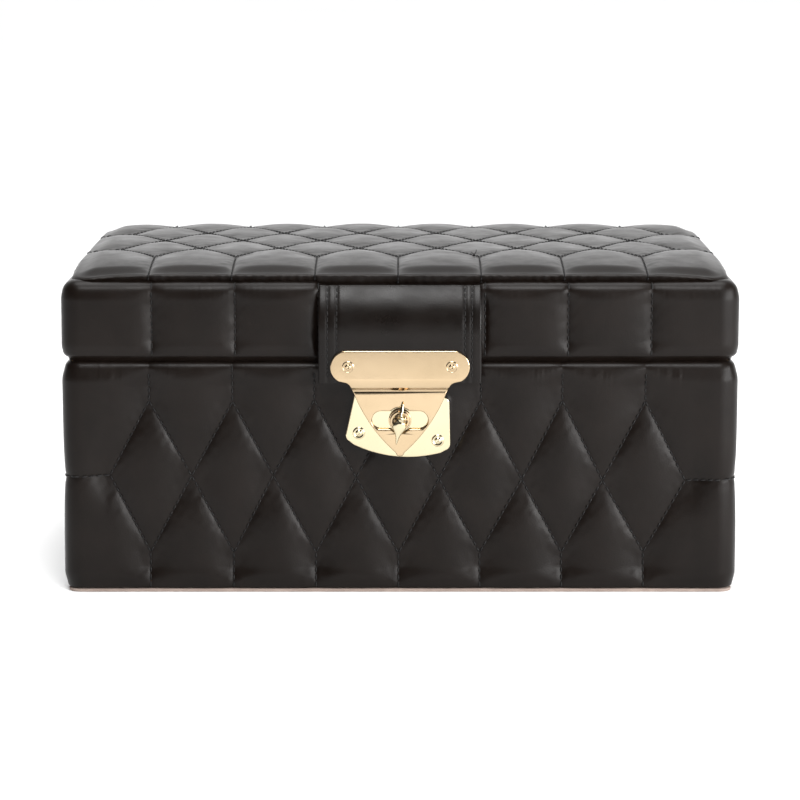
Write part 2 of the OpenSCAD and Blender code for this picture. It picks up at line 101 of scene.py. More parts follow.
# padding: its height, and how it falls to a seam
QUILT_DEPTH = 3.2
PUFF_REACH, PUFF_ROUND = 6.6, 1.4
THREAD_DIP, THREAD_DIP_REACH = 0.25, 0.7
PUCKER, PUCKER_SIZE, PUCKER_START, PUCKER_REACH = 0.06, 2.4, 1.2, 3.0
UNEVEN = 0.05
CORNER_R = 6.0
QUILT_LIP = HALF_D - QUILT_DEPTH - box("body_lining")[1][1] + 0.3
MESH_STEP = 0.55

# stitches: places along one, its height over the leather, and its share of full thickness
STITCH_PITCH = 2.6
STITCH_SHAPE = [(0, -0.55, 0.5), (0.12, -0.05, 0.95), (0.35, 0.2, 1),
                (0.65, 0.2, 1), (0.88, -0.05, 0.95), (1, -0.55, 0.5)]

# the lock's plate, about its middle: half width, depth and bow of its lower edge, and degrees out of level
PLATE_HALF, PLATE_DOWN, PLATE_BOW = 19.4, 14.0, 4.2
PLATE_TURN = 5.5


# ---------- meshes ----------

def new_object(name, data):
    item = bpy.data.objects.new(name, data)
    bpy.context.scene.collection.objects.link(item)
    return item


def add_piece(name, points, faces, material, body, smooth=True):
    """A mesh from points in millimetres, riding on a CAD body."""
    mesh = bpy.data.meshes.new(name)
    faces = faces if isinstance(faces, list) else faces.tolist()
    mesh.from_pydata((np.asarray(points) * MM).tolist(), [], faces)
    mesh.materials.append(material)
    mesh.polygons.foreach_set("use_smooth", [smooth] * len(mesh.polygons))
    mesh.update()
    piece = new_object(name, mesh)
    if body:
        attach(piece, body)
    return piece


def grid_faces(rows, cols, closed=False):
    """Quads over a grid of points stored row by row. A closed grid joins its last column to its first."""
    i, j = np.meshgrid(np.arange(rows - 1), np.arange(cols if closed else cols - 1), indexing="ij")
    k = (j + 1) % cols
    return np.stack([i * cols + j, i * cols + k, (i + 1) * cols + k, (i + 1) * cols + j], -1).reshape(-1, 4)


def capped_tubes(rings, sides, count=1):
    """Faces of tubes stored one after the other ring by ring, each closed at both ends."""
    size = rings * sides
    walls = grid_faces(rings, sides, closed=True)
    faces = (walls[None] + size * np.arange(count)[:, None, None]).reshape(-1, 4).tolist()
    for n in range(count):
        first, last = n * size, (n + 1) * size - sides
        faces.append([first + k for k in reversed(range(sides))])
        faces.append([last + k for k in range(sides)])
    return faces


def clean(piece, merge=0.002, sharp=None):
    """Merges points that coincide, points faces outwards and marks sharp edges."""
    bm = bmesh.new()
    bm.from_mesh(piece.data)
    bmesh.ops.remove_doubles(bm, verts=bm.verts, dist=merge * MM)
    bmesh.ops.recalc_face_normals(bm, faces=bm.faces)
    bm.to_mesh(piece.data)
    bm.free()
    if sharp:
        piece.data.set_sharp_from_angle(angle=radians(sharp))
    return piece


def waves(u, v, size, seed, count=7):
    """A smooth random field of about unit height, whose bumps are about size wide."""
    draw = np.random.default_rng(seed)
    total = np.zeros(np.broadcast(u, v).shape)
    for angle, stretch, phase in draw.uniform((0, 0.6, 0), (tau, 1.5, tau), (count, 3)):
        k = pi * stretch / size
        total += np.sin(k * (u * cos(angle) + v * sin(angle)) + phase)
    return total / sqrt(count / 2)


def arc(cx, cz, radius, start, end, count):
    """Points on an arc in x and z, angles in degrees."""
    turn = np.radians(np.linspace(start, end, count))
    return [(cx + radius * cos(a), cz + radius * sin(a)) for a in turn]


# ---------- quilting ----------

class Loop:
    """Stations round a rounded rectangle, anticlockwise from above, u = 0 in the middle of the front."""

    def __init__(self, half_w, half_d, corner, step):
        self.half_w, self.half_d, self.corner = half_w, half_d, corner
        flat = {0: half_w - corner, 1: half_d - corner}
        stations, u = [], -flat[0]
        bend = corner * pi / 2
        for side in range(4):
            a = radians(90 * side - 90)
            out = np.array([round(cos(a)), round(sin(a))])
            along = np.array([-out[1], out[0]])
            run = flat[side % 2]
            count = round(2 * run / step)
            for i in range(count):
                t = 2 * i / count - 1
                stations.append((u + (t + 1) * run, *(out + along * t), *out))
            u += 2 * run
            turns = max(6, round(bend / step))
            for i in range(turns):
                b = a + pi / 2 * i / turns
                stations.append((u + bend * i / turns, *(out + along), cos(b), sin(b)))
            u += bend
        self.table = np.array(stations)
        self.length = u + flat[0]
        self.u = self.table[:, 0]
        closing = self.table[:1].copy()
        closing[0, 0] += self.length
        self.closed = np.vstack([self.table, closing])
        quarter = flat[0] + bend + flat[1]
        self.side_u = [0, quarter, self.length / 2, self.length / 2 + quarter]
        first = flat[0] + bend / 2
        self.corner_u = [first, self.length / 2 - first, self.length / 2 + first, self.length - first]

    def from_corner(self, u):
        """How far round the loop each u is from the middle of the nearest corner."""
        gaps = [np.abs((u - c + self.length / 2) % self.length - self.length / 2) for c in self.corner_u]
        return np.minimum.reduce(gaps)

    def place(self, u, inset):
        """Points and outward directions at u, on the loop moved inwards by inset."""
        u = (u - self.u[0]) % self.length + self.u[0]
        sx, sy, nx, ny = (np.interp(u, self.closed[:, 0], self.closed[:, c]) for c in (1, 2, 3, 4))
        size = np.hypot(nx, ny)
        nx, ny = nx / size, ny / size
        r = np.maximum(self.corner - inset, 0)
        x = sx * (self.half_w - inset - r) + nx * r
        y = sy * (self.half_d - inset - r) + ny * r
        return x, y, nx, ny


class Section:
    """A band's section from its lower lip, round both edges, to its upper lip, in (v, inset, height, slope).

    z0 and z1 are its lower and upper edge, r0 and r1 their radii, lip0 and lip1 how far they turn in.
    On the upright part v is the height.
    """

    def __init__(self, z0, z1, r0, r1, lip0, lip1, step=MESH_STEP):
        rows = []
        bend0, bend1 = r0 * pi / 2, r1 * pi / 2
        for e in np.arange(lip0, 0, -step):
            rows.append((z0 + r0 - bend0 - e, r0 + e, z0, -pi / 2))
        for a in np.linspace(-pi / 2, 0, max(5, round(bend0 / step) + 1))[:-1]:
            rows.append((z0 + r0 + r0 * a, r0 * (1 - cos(a)), z0 + r0 * (1 + sin(a)), a))
        for z in np.linspace(z0 + r0, z1 - r1, round((z1 - z0 - r0 - r1) / step) + 1)[:-1]:
            rows.append((z, 0, z, 0))
        for a in np.linspace(0, pi / 2, max(5, round(bend1 / step) + 1)):
            rows.append((z1 - r1 + r1 * a, r1 * (1 - cos(a)), z1 - r1 + r1 * sin(a), a))
        for e in np.arange(step, lip1 + step / 2, step):
            rows.append((z1 - r1 + bend1 + e, r1 + e, z1, pi / 2))
        self.table = np.array(rows)
        self.v = self.table[:, 0]
        self.low_edge = z0 + r0 - bend0
        self.top_edge = z1 - r1 + bend1

    def place(self, v):
        """Inset, height and slope of the outward direction at v."""
        return [np.interp(v, self.v, self.table[:, c]) for c in (1, 2, 3)]


def seam_field(u, v, seams, around=None):
    """How far a cell has risen, 0 on a seam and near 1 mid-cell, and how far off the nearest seam is.

    around is the length of the loop that u runs round, if it runs round one.
    """
    rise = np.ones(np.broadcast(u, v).shape)
    near = np.full(rise.shape, 50.0)
    for (u0, v0), (u1, v1) in seams:
        middle = (u0 + u1) / 2
        uu = u if around is None else (u - middle + around / 2) % around - around / 2 + middle
        du, dv = u1 - u0, v1 - v0
        t = np.clip(((uu - u0) * du + (v - v0) * dv) / (du * du + dv * dv), 0, 1)
        d = np.hypot(uu - u0 - t * du, v - v0 - t * dv)
        rise *= 1 - np.exp(-d / PUFF_REACH)
        near = np.minimum(near, d)
    return rise, near


def puffed(rise):
    """Turns the rise of a cell into the height of its padding, about 1 at the middle."""
    return (1 - np.exp(-PUFF_ROUND * rise)) / (1 - exp(-PUFF_ROUND))


def fade(x, start, end):
    """0 before start, 1 after end, smooth between."""
    t = np.clip((x - start) / (end - start), 0, 1)
    return t * t * (3 - 2 * t)


def sewn(near, u, v, seed, held, loose):
    """What the thread does beside a seam: the dip that it pulls, and small puckers."""
    dip = THREAD_DIP * np.exp(-near / THREAD_DIP_REACH)
    pucker = PUCKER * np.exp(-near / PUCKER_REACH) * np.clip(near / PUCKER_START, 0, 1)
    return pucker * loose * waves(u, v, PUCKER_SIZE, seed) - dip * held


class QuiltedBand:
    """Quilted leather round the case: a loop, a section and the seams sewn into it.

    wrinkle is the height of the small folds below the upper edge. Each press is a place where something
    lies on the leather: it gives a mask, the height of the leather there and how firmly it is held.
    """

    STIFF = 0.3
    SMOOTH = 1.03
    LIP_SHARE = 0.55
    FOLD_DEPTH, FOLD_REACH, FOLD_SIZE = 4.5, 2.5, 1.15

    def __init__(self, loop, section, seams, depth, wrinkle, seed, presses=()):
        self.loop, self.section, self.seams, self.depth, self.seed = loop, section, seams, depth, seed
        self.wrinkle, self.presses = wrinkle, presses

    def relief(self, u, v):
        """Height of the leather over the loop. It is stiffer, so flatter, near its edges and the corners."""
        rise, near = seam_field(u, v, self.seams, self.loop.length)
        swell = puffed(rise) * (1 + UNEVEN * waves(u, v, 38, self.seed))
        edge = np.minimum(v - self.section.low_edge, self.section.top_edge - v)
        corner = self.loop.from_corner(u)
        give = 1 - self.STIFF
        loose = (self.STIFF + give * fade(edge, 0, 9)) * (self.STIFF + give * fade(corner, 3, 13))
        swell = self.SMOOTH * (1 - loose) + loose * swell
        height = QUILT_DEPTH - self.depth * (1 - swell)
        height *= self.LIP_SHARE + (1 - self.LIP_SHARE) * fade(edge, -1, 7)
        height += sewn(near, u, v, self.seed + 1, loose, fade(edge, 1, 4))
        folds = np.exp(-np.abs(self.section.top_edge - v - self.FOLD_DEPTH) / self.FOLD_REACH)
        folds *= fade(rise, 0.05, 0.3) * fade(waves(u, v, 16, self.seed + 4), -0.6, 1.0)
        height += self.wrinkle * folds * waves(u, v * 0.1, self.FOLD_SIZE, self.seed + 2)
        for press in self.presses:
            mask, level, share = press(u, v)
            height = height * (1 - mask * share) + level * mask * share
        return height

    def surface(self, u, v, lift=0.0):
        """Points on the leather, raised by lift. Its padding swells the upper lip, but not the lower one."""
        inset, z, slope = self.section.place(v)
        swell = self.relief(u, v)
        h = swell + lift
        x, y, nx, ny = self.loop.place(u, inset)
        z = z + np.sin(slope) * lift + np.maximum(np.sin(slope), 0) * swell
        return np.stack([x + nx * np.cos(slope) * h, y + ny * np.cos(slope) * h, z], -1)

    def build(self, name, material, body, slot):
        u, v = np.meshgrid(self.loop.u, self.section.v)
        faces = grid_faces(*u.shape, closed=True)
        return add_piece(name, self.surface(u, v).reshape(-1, 3), faces, material, body)


def uneven(points, reach=0.35):
    """Moves each point a little, as hand-guided stitching does."""
    moves = rng.uniform(-reach, reach, (len(points), 2))
    return [(x + dx, y + dy) for (x, y), (dx, dy) in zip(points, moves)]


def diamond_seams(centre, count, pitch, shift=0.0, lean=0.0):
    """Seams of one row of diamonds about a side's middle, and the first and last of their side points."""
    columns = [centre + shift + pitch * (k - (count - 1) / 2) for k in range(count)]
    sides = [centre + shift + pitch * (k - count / 2) for k in range(count + 1)]
    top = uneven([(u, ROW_TOP) for u in columns])
    low = uneven([(u, ROW_LOW) for u in columns])
    mid = uneven([(u, ROW_MID - lean * (u - centre)) for u in sides])
    seams = []
    for k in range(count):
        for corner in (top[k], low[k]):
            seams += [(mid[k], corner), (corner, mid[k + 1])]
        seams.append((top[k], (top[k][0], WRAP_HI[2] + OVERRUN)))
        seams.append((low[k], (low[k][0], WRAP_LO[2] - LOW_OVERRUN)))
    return seams, mid[0], mid[-1]


def body_seams(loop):
    """The diamonds on all four sides, and the seams that join them round the corners."""
    seams, ends = [], []
    for side in range(4):
        count, pitch = (FRONT_DIAMONDS, PITCH) if side % 2 == 0 else (SIDE_DIAMONDS, SIDE_PITCH)
        shift, lean = (FRONT_SHIFT, FRONT_LEAN) if side == 0 else (0, 0)
        found, first, last = diamond_seams(loop.side_u[side], count, pitch, shift, lean)
        seams += found
        ends.append((first, last))
    for side in range(4):
        a, b = ends[side][1], ends[(side + 1) % 4][0]
        seams.append((a, (b[0] + (loop.length if side == 3 else 0), b[1])))
    return seams


def lid_seams(loop):
    """Upright seams on all four sides of the lid."""
    seams = []
    for side in range(4):
        count = FRONT_DIAMONDS if side % 2 == 0 else SIDE_DIAMONDS
        for k in range(count):
            u = loop.side_u[side] + LID_PITCH * (k - (count - 1) / 2) + (LID_SHIFT if side == 0 else 0)
            seams.append(((u, LID_LO[2] - OVERRUN), (u, LID_HI[2] + OVERRUN)))
    return seams


# ---------- stitching ----------

def threads(name, centre, away, radius, body, sides=6):
    """Closed threads along lines of points. away points off the surface that they lie on."""
    along = np.gradient(centre, axis=1)
    across = np.cross(along, away)
    across /= np.linalg.norm(across, axis=-1, keepdims=True)
    up = np.cross(across, along)
    up /= np.linalg.norm(up, axis=-1, keepdims=True)
    a = np.arange(sides) / sides * tau
    ring = across[..., None, :] * np.cos(a)[:, None] + up[..., None, :] * np.sin(a)[:, None]
    count, rings = centre.shape[:2]
    points = centre[..., None, :] + ring * np.broadcast_to(radius, (count, rings))[..., None, None]
    return add_piece(name, points.reshape(-1, 3), capped_tubes(rings, sides, count), THREAD, body)


def stitches(name, seams, surface, body, pitch=STITCH_PITCH, radius=0.24, lift=0.25, limits=None):
    """A thread for every stitch along the seams, each dipping into its two holes."""
    lines = []
    for p, q in seams:
        p, q = np.array(p, float), np.array(q, float)
        count = max(1, round(np.linalg.norm(q - p) / pitch))
        for i in range(count):
            a, b = (p + (q - p) * (i + share) / count for share in (0.1, 0.9))
            if limits is None or limits[0] <= min(a[1], b[1]) and max(a[1], b[1]) <= limits[1]:
                lines.append((a, b))
    lines = np.array(lines)
    along, bow, thick = np.array(STITCH_SHAPE).T
    u, v = np.moveaxis(lines[:, :1] + (lines[:, 1:] - lines[:, :1]) * along[:, None], -1, 0)
    centre = surface(u, v, bow + lift)
    away = surface(u, v, bow + lift + 1) - centre
    return threads(name, centre, away, radius * thick, body)


# ---------- materials ----------

def add_node(tree, kind, **inputs):
    """A shader node. Each input is a value, or another node's output that feeds it."""
    node = tree.nodes.new("ShaderNode" + kind)
    for name, value in inputs.items():
        socket = node.inputs[name.replace("_", " ")]
        if isinstance(value, bpy.types.NodeSocket):
            tree.links.new(value, socket)
        else:
            socket.default_value = value
    return node


def colour_ramp(tree, value, stops):
    """A colour ramp over value. A stop is its place and a colour or a grey level."""
    node = add_node(tree, "ValToRGB", Fac=value)
    for i, (place, colour) in enumerate(stops):
        stop = node.color_ramp.elements[i] if i < 2 else node.color_ramp.elements.new(place)
        stop.position = place
        stop.color = (*colour, 1) if isinstance(colour, tuple) else (colour, colour, colour, 1)
    return node.outputs["Color"]


class Material:
    """A node material with helpers for the nodes that these surfaces share."""

    def __init__(self, name, **settings):
        self.material = bpy.data.materials.new(name)
        self.material.use_nodes = True
        self.tree = self.material.node_tree
        self.inputs = self.tree.nodes["Principled BSDF"].inputs
        for key, value in settings.items():
            self.inputs[key.replace("_", " ")].default_value = value
        self.where = add_node(self.tree, "TexCoord").outputs["Object"]

    def noise(self, scale, detail=4.0, rough=0.55, stretch=None):
        where = self.where
        if stretch:
            where = add_node(self.tree, "Mapping", Vector=where, Scale=stretch).outputs["Vector"]
        node = add_node(self.tree, "TexNoise", Vector=where, Scale=scale, Detail=detail, Roughness=rough)
        return node.outputs["Fac"]

    def cells(self, scale):
        return add_node(self.tree, "TexVoronoi", Vector=self.where, Scale=scale).outputs["Distance"]

    def feed(self, value, name):
        self.tree.links.new(value, self.inputs[name])

    def colour(self, value, stops):
        self.feed(colour_ramp(self.tree, value, stops), "Base Color")

    def rough(self, value, low, high):
        """Stretches a value to run from low to high, as the surface's roughness."""
        span = {"From_Min": 0.3, "From_Max": 0.7, "To_Min": low, "To_Max": high}
        self.feed(add_node(self.tree, "MapRange", Value=value, **span).outputs["Result"], "Roughness")

    def bump(self, *layers):
        """Bumps from (height, strength, distance in mm) layers, one on the other."""
        below = {}
        for height, strength, mm in layers:
            node = add_node(self.tree, "Bump", Height=height, Strength=strength, Distance=mm * MM, **below)
            below = {"Normal": node.outputs["Normal"]}
        self.feed(below["Normal"], "Normal")
        return self.material


def leather(name, dark, light, rough, gloss=0.16):
    m = Material(name, Specular_IOR_Level=gloss)
    m.colour(m.noise(60, 5), [(0.35, dark), (0.7, light)])
    m.rough(m.noise(95, 6, 0.65), rough - 0.05, rough + 0.07)
    return m.bump((m.cells(1500), 0.22, 0.06), (m.noise(2600, 3), 0.12, 0.04), (m.noise(260, 3), 0.1, 0.18))


def suede(name, dark, light):
    m = Material(name, Roughness=0.92, Specular_IOR_Level=0.15, Sheen_Weight=0.6, Sheen_Roughness=0.4,
                 Sheen_Tint=(*light, 1))
    m.colour(m.noise(140, 6, 0.7), [(0.3, dark), (0.72, light)])
    return m.bump((m.noise(2400, 3, 0.7), 0.5, 0.12), (m.noise(420, 3), 0.25, 0.25))


def metal(name, dark, light, rough, brushed=None):
    m = Material(name, Metallic=1.0)
    m.colour(m.noise(45, 3), [(0.3, dark), (0.7, light)])
    m.rough(m.noise(220, 5, 0.6), rough * 0.75, rough * 1.35)
    return m.bump((m.noise(900, 4, stretch=brushed), 0.05, 0.02), (m.noise(130, 2), 0.04, 0.05))


def fibreboard(name):
    m = Material(name, Roughness=0.85)
    m.colour(m.noise(500, 8, 0.75, (1, 1, 4)), [(0.3, (0.26, 0.17, 0.1)), (0.75, (0.5, 0.37, 0.24))])
    return m.bump((m.noise(1600, 4), 0.3, 0.1))


def silvering(name):
    m = Material(name, Metallic=1.0)
    m.colour(m.noise(8, 2), [(0.2, (0.86, 0.88, 0.9)), (0.8, (0.93, 0.94, 0.95))])
    m.rough(m.noise(300, 3), 0.01, 0.035)
    return m.bump((m.noise(12, 1), 0.01, 0.02))


def thread(name):
    m = Material(name, Specular_IOR_Level=0.3)
    m.colour(m.noise(900, 3), [(0.3, (0.002, 0.002, 0.002)), (0.75, (0.009, 0.008, 0.008))])
    m.rough(m.noise(700, 3), 0.4, 0.65)
    return m.bump((m.noise(3500, 2, stretch=(1, 1, 3)), 0.5, 0.08))


QUILT = leather("quilted_leather", (0.0042, 0.0025, 0.0017), (0.0068, 0.0044, 0.0033), 0.35)
STRAP = leather("strap_leather", (0.0034, 0.0022, 0.0016), (0.0056, 0.0038, 0.0030), 0.30, 0.19)
EDGE = leather("edge_leather", (0.008, 0.0075, 0.007), (0.014, 0.013, 0.012), 0.46)
BASE = suede("base_suede", (0.24, 0.185, 0.16), (0.35, 0.28, 0.245))
SUEDE = suede("lining_suede", (0.3, 0.19, 0.14), (0.44, 0.3, 0.23))
GOLD = metal("champagne_gold", (0.445, 0.335, 0.206), (0.485, 0.368, 0.234), 0.1)
CREAM = metal("pale_gold", (0.56, 0.485, 0.325), (0.6, 0.525, 0.355), 0.09)
BRASS = metal("satin_brass", (0.62, 0.45, 0.22), (0.75, 0.56, 0.3), 0.3, (1, 14, 1))
BOARD = fibreboard("fibreboard")
MIRROR = silvering("mirror_silver")
THREAD = thread("black_thread")


# ---------- quilted leather of the body and the lid ----------

def turned_by(x, z, angle):
    """A place in x and z turned about the origin, the angle in degrees and anticlockwise from the front."""
    a = radians(angle)
    return x * cos(a) - z * sin(a), x * sin(a) + z * cos(a)


def plate_edge(x):
    """Height of the lower edge of the lock's plate, about its middle."""
    return PLATE_BOW * (x / PLATE_HALF) ** 2 - PLATE_DOWN


def under_plate(u, v):
    """The leather lies flat under the lock's plate, whose lower edge is bowed."""
    x, z = turned_by(u, v - LOCK_Z, PLATE_TURN)
    past_end = np.maximum(np.abs(x) - 16.0, 0)
    past_edge = np.maximum(np.maximum(z - 8.0, plate_edge(x) + 2.0 - z), 0)
    out = np.hypot(past_end, past_edge)
    return 1 - fade(out, 0.0, 2.6), QUILT_DEPTH - 0.12, 1.0


def under_strap(u, v):
    """The padding is pressed down behind the strap, all the way up it."""
    return 1 - fade(np.abs(u), STRAP_HI[0] - 2, STRAP_HI[0] + 1.5), 0.0, 0.6


def band_loop():
    return Loop(HALF_W - QUILT_DEPTH, HALF_D - QUILT_DEPTH, CORNER_R - QUILT_DEPTH + 1, MESH_STEP)


def quilted_body():
    section = Section(WRAP_LO[2], RIM_HI[2], 0.8, 1.2, 1.5, QUILT_LIP - 1.2)
    loop = band_loop()
    band = QuiltedBand(loop, section, body_seams(loop), QUILT_DEPTH, 0.07, 3, [under_plate])
    piece = band.build("body_quilt", QUILT, "case", "quilted_leather")
    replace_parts(piece, "body_wrap", "body_rim")
    limits = (WRAP_LO[2] - 0.3, WRAP_HI[2] + 0.4)
    stitches("body_stitching", band.seams, band.surface, "case", limits=limits)


def quilted_lid():
    """The lid's leather. Its lower edge is above the rim, and behind it the lip lies at the rim's height."""
    section = Section(LID_RIM_LO[2] + 1.5, LID_HI[2] + 0.12, 2.2, 2.6, QUILT_LIP - 2.2, 3.0)
    _, inset, _, slope = section.table.T
    section.table[(inset > 0.7) & (slope < 0), 2] = LID_RIM_LO[2]
    loop = band_loop()
    band = QuiltedBand(loop, section, lid_seams(loop), 2.3, 0.025, 5, [under_strap])
    piece = band.build("lid_quilt", QUILT, "lid", "quilted_leather")
    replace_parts(piece, "lid_wrap", "lid_rim")
    limits = (section.low_edge + 1.0, LID_HI[2] + 1.0)
    stitches("lid_stitching", band.seams, band.surface, "lid", limits=limits)


def base_edge():
    """The suede-faced sheet under the case, whose edge shows as a thin line below the leather."""
    low, high = box("base_cover")
    loop = Loop(HALF_W - 1.5, HALF_D - 1.5, CORNER_R - 1, 2.0)
    rings = [(0.35, low[2]), (0.08, low[2] + 0.12), (0.0, low[2] + 0.4), (0.0, high[2] - 0.2), (0.3, high[2])]
    points = []
    for inset, z in rings:
        x, y = loop.place(loop.u, inset)[:2]
        points.append(np.column_stack([x, y, np.full(len(x), z)]))
    faces = capped_tubes(len(rings), len(loop.u))
    piece = add_piece("base_sheet_edge", np.vstack(points), faces, BASE, "case")
    clean(piece, sharp=40)
    even_shading(piece)
    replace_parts(piece, "base_cover")


# ---------- quilted cushion on the lid ----------

def pad_seams(reach_x, reach_y):
    """Two rows of diamonds on the lid, run out to the cushion's edges."""
    inner = [PAD_SHIFT_X + PAD_PITCH * (k - (FRONT_DIAMONDS - 1) / 2) for k in range(FRONT_DIAMONDS)]
    outer = [PAD_SHIFT_X + PAD_PITCH * (k - FRONT_DIAMONDS / 2) for k in range(FRONT_DIAMONDS + 1)]
    seams = []
    for middle in (-1, 1):
        y = middle * PAD_ROW + PAD_SHIFT_Y
        for k, x in enumerate(inner):
            for tip in ((x, y - PAD_ROW), (x, y + PAD_ROW)):
                seams += [((outer[k], y), tip), (tip, (outer[k + 1], y))]
        seams += [((outer[0], y), (-reach_x, y)), ((outer[-1], y), (reach_x, y))]
    for s in (-1, 1):
        seams += [((x, 2 * s * PAD_ROW + PAD_SHIFT_Y), (x, s * reach_y)) for x in inner]
    return seams


class Cushion:
    """The quilted cushion: a flat middle, and a border that rolls over and down to the lid.

    p and q run across the cover as if it lay flat. Each CROWN is how far the top falls towards that edge,
    how far out the fall starts, and its run.
    """

    TOP_DROP = 1.2
    PLAN_R = 8.0
    ROLL = 1.0
    UNDERCUT, SPLAY = 1.8, 1.4
    PUFF = 2.2
    STEP, FINE_STEP = 0.6, 0.22
    CORNER_TURNS = 14
    FRONT_CROWN, BACK_CROWN, END_CROWN = (3.0, 38, 40), (1.0, 45, 34), (1.2, 90, 30)

    def __init__(self):
        self.half = np.array([PAD_HI[0] - 1.6, PAD_HI[1] - 0.6])
        self.top = PAD_HI[2] - self.TOP_DROP
        self.low = PAD_LO[2] + 0.05
        self.core = self.half - self.PLAN_R
        self.straight = self.PLAN_R - self.ROLL
        self.drop = self.top - self.ROLL - self.low
        self.bend = self.ROLL * pi / 2
        self.border = self.straight + self.bend + self.drop
        self.seams = pad_seams(*(self.core + self.border + 2))

    def beyond(self, p, q):
        """How far p and q are past the flat middle, each way and in all."""
        ex, ey = np.maximum(np.abs(p) - self.core[0], 0), np.maximum(np.abs(q) - self.core[1], 0)
        return ex, ey, np.hypot(ex, ey)

    def relief(self, p, q):
        """Height of the padding: full on the top, low on the side, which has fine upright folds."""
        rise, near = seam_field(p, q, self.seams)
        out = self.beyond(p, q)[2]
        inner = 1 - fade(out, self.straight - 7.0, self.straight + 0.5)
        height = self.PUFF * puffed(rise) * (1 + UNEVEN * waves(p, q, 40, 21)) * (0.25 + 0.75 * inner)
        height += sewn(near, p, q, 22, inner, inner)
        side = fade(out, self.straight + 1, self.straight + self.bend)
        across = np.where(np.abs(q) - self.core[1] > np.abs(p) - self.core[0], p, q)
        return height + 0.12 * side * waves(across, out * 0.15, 1.5, 23)

    def surface(self, p, q, lift=0.0):
        """Points on the cover, raised by lift."""
        ex, ey, out = self.beyond(p, q)
        safe = np.maximum(out, 1e-9)
        nx, ny = ex / safe * np.sign(p), ey / safe * np.sign(q)
        a = np.clip((out - self.straight) / self.ROLL, 0, pi / 2)
        down = np.maximum(out - self.straight - self.bend, 0)
        tuck = self.UNDERCUT * ny ** 2 - self.SPLAY * nx ** 2
        reach = np.minimum(out, self.straight) + self.ROLL * np.sin(a) - tuck * down / self.drop
        h = self.relief(p, q) + lift
        x = np.clip(p, -self.core[0], self.core[0]) + nx * (reach + np.sin(a) * h)
        y = np.clip(q, -self.core[1], self.core[1]) + ny * (reach + np.sin(a) * h)
        z = self.top - self.ROLL * (1 - np.cos(a)) - down + np.cos(a) * h
        z = z - self.crown(x, y) * np.clip((z - self.low) / (self.top - self.low), 0, 1)
        return np.stack([x, y, self.low + (z - self.low) * (1 - self.worn(x, y))], -1)

    def crown(self, x, y):
        """How far the top falls towards its front, back and ends."""
        sides = ((-y, self.FRONT_CROWN), (y, self.BACK_CROWN), (np.abs(x), self.END_CROWN))
        return sum(drop * np.clip((out - start) / run, 0, 1) ** 2 for out, (drop, start, run) in sides)

    def worn(self, x, y):
        """Share of its height that the cushion has lost along its edges, and more at its corners."""
        across, deep = np.abs(x / self.half[0]), np.abs(y / self.half[1])
        return np.clip(0.1 * across ** 12 + 0.08 * deep ** 8 + 0.34 * across ** 14 * deep ** 10, 0, 0.6)

    def rim(self):
        """Stations round the flat middle and their outward directions, from the front left corner."""
        cx, cy = self.core
        corners = [(-cx, -cy), (cx, -cy), (cx, cy), (-cx, cy)]
        stations = []
        for side, start in enumerate(corners):
            end = corners[(side + 1) % 4]
            a = radians(90 * side - 90)
            count = round(dist(start, end) / self.STEP)
            for t in np.arange(count) / count:
                spot = [first + (last - first) * t for first, last in zip(start, end)]
                stations.append((*spot, cos(a), sin(a)))
            for b in a + np.arange(self.CORNER_TURNS) / self.CORNER_TURNS * pi / 2:
                stations.append((*end, cos(b), sin(b)))
        return np.array(stations)

    def build(self):
        middle = np.meshgrid(*(np.linspace(-c, c, round(2 * c / self.STEP) + 1) for c in self.core))
        points = [self.surface(*middle).reshape(-1, 3)]
        faces = [grid_faces(*middle[0].shape)]
        x, y, nx, ny = self.rim().T
        turn = self.straight - 1
        fine = np.arange(turn, self.border, self.FINE_STEP)
        out = np.concatenate([np.arange(0, turn, self.STEP), fine, [self.border]])
        border = self.surface(x + nx * out[:, None], y + ny * out[:, None])
        faces.append(grid_faces(len(out), len(x), closed=True)[:, ::-1] + len(points[0]))
        points.append(border.reshape(-1, 3))
        piece = add_piece("lid_cushion", np.vstack(points), np.vstack(faces), QUILT, "lid")
        clean(piece)
        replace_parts(piece, "lid_pad")


def quilted_pad():
    """The cushion and its stitching. Seams are cut short of the cover's edge."""
    pad = Cushion()
    pad.build()
    inside = pad.core + pad.border - 0.5
    kept = [(np.clip(a, -inside, inside), np.clip(b, -inside, inside)) for a, b in pad.seams]
    stitches("cushion_stitching", kept, pad.surface, "lid")
    return pad


# ---------- strap ----------

